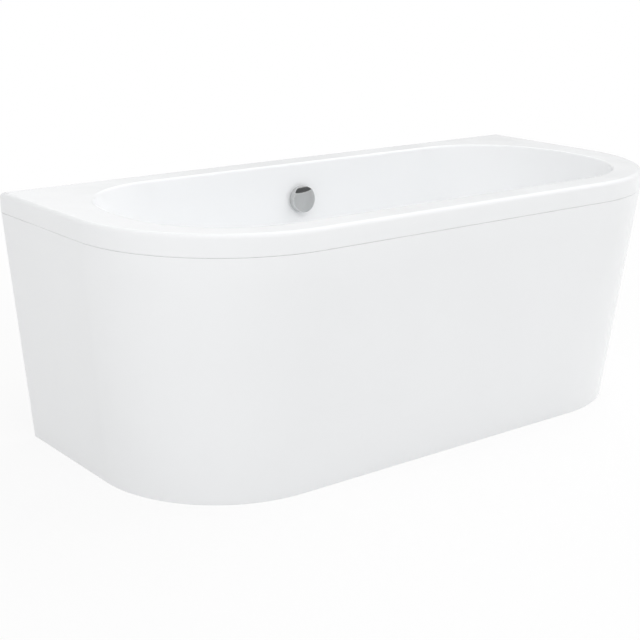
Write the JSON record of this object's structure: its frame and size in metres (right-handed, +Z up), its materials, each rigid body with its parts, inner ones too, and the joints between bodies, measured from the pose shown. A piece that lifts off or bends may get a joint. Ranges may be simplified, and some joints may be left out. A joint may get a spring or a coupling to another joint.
{
  "type": "back-to-wall bathtub",
  "caption": "White D-shaped bath with a straight back, rounded front corners, a tapered wrap-around panel, an oval basin and a turning overflow knob that lifts the waste plug.",
  "frame": {"origin": "on the floor, at the middle of the bath's plan box", "axes": "+X along the wall to the right as seen from the front, +Y towards the wall, +Z up"},
  "size_m": [1.5, 0.7, 0.575],
  "materials": {
    "white_acrylic": "gloss",
    "particle_board": "matt",
    "rim_timber": "matt",
    "galvanised_steel": "satin",
    "zinc_plate": "satin",
    "chrome": "polished",
    "brass": "satin",
    "rubber": "matt",
    "white_plastic": "matt",
    "grey_plastic": "matt",
    "black_plastic": "matt"
  },
  "bodies": {
    "bath": {"base_board": "particle_board", "bath_shell": "white_acrylic", "cable_clips": "black_plastic", "cable_ferrules": "zinc_plate", "centre_foot_plate": "galvanised_steel", "cleanout_cap": "white_plastic", "clip_screws": "zinc_plate", "control_cable": "black_plastic", "flange_seal": "rubber", "foot_nuts": "zinc_plate", "frame_screws": "zinc_plate", "hose_nuts": "white_plastic", "leg_channel_left": "galvanised_steel", "leg_channel_right": "galvanised_steel", "outlet_nut": "white_plastic", "outlet_seal": "rubber", "overflow_elbow": "white_plastic", "overflow_gasket": "rubber", "overflow_hose": "grey_plastic", "overflow_rosette": "chrome", "panel_brackets": "galvanised_steel", "panel_clips": "galvanised_steel", "rim_batten_back": "rim_timber", "rim_batten_front": "rim_timber", "rim_batten_left": "rim_timber", "rim_batten_right": "rim_timber", "trap_body": "white_plastic", "trap_nut": "white_plastic", "trap_washer": "rubber", "wall_bracket_left": "galvanised_steel", "wall_bracket_right": "galvanised_steel", "waste_body": "white_plastic", "waste_flange": "chrome", "waste_gasket": "rubber", "wrap_panel": "white_acrylic"},
    "knob": {"overflow_knob": "chrome", "knob_spindle": "brass", "cable_drum": "black_plastic"},
    "plug": {"pop_up_plug": "chrome", "plug_seal": "rubber", "plug_stem": "brass"},
    "foot_front_left": {"foot_stud_front_left": "zinc_plate", "foot_pad_front_left": "black_plastic"},
    "foot_front_right": {"foot_stud_front_right": "zinc_plate", "foot_pad_front_right": "black_plastic"},
    "foot_back_left": {"foot_stud_back_left": "zinc_plate", "foot_pad_back_left": "black_plastic"},
    "foot_back_right": {"foot_stud_back_right": "zinc_plate", "foot_pad_back_right": "black_plastic"},
    "foot_centre": {"foot_stud_centre": "zinc_plate", "foot_pad_centre": "black_plastic"}
  },
  "joints": [
    {"name": "knob_turn", "type": "hinge", "parent": "bath", "child": "knob", "pos_m": [0, 0.2713, 0.487], "axis": [0, -0.9962, 0.0872], "range_deg": [0, 90]},
    {"name": "plug_lift", "type": "slide", "parent": "bath", "child": "plug", "axis": [0, 0, 1], "range_m": [0, 0.012]},
    {"name": "foot_level_front_left", "type": "slide", "parent": "bath", "child": "foot_front_left", "axis": [0, 0, 1], "range_m": [-0.02, 0.012]},
    {"name": "foot_level_front_right", "type": "slide", "parent": "bath", "child": "foot_front_right", "axis": [0, 0, 1], "range_m": [-0.02, 0.012]},
    {"name": "foot_level_back_left", "type": "slide", "parent": "bath", "child": "foot_back_left", "axis": [0, 0, 1], "range_m": [-0.02, 0.012]},
    {"name": "foot_level_back_right", "type": "slide", "parent": "bath", "child": "foot_back_right", "axis": [0, 0, 1], "range_m": [-0.02, 0.012]},
    {"name": "foot_level_centre", "type": "slide", "parent": "bath", "child": "foot_centre", "axis": [0, 0, 1], "range_m": [-0.009, 0.007]}
  ],
  "couplings": [
    {"joint": "plug_lift", "follows": "knob_turn", "m_per_rad": 0.007639}
  ]
}
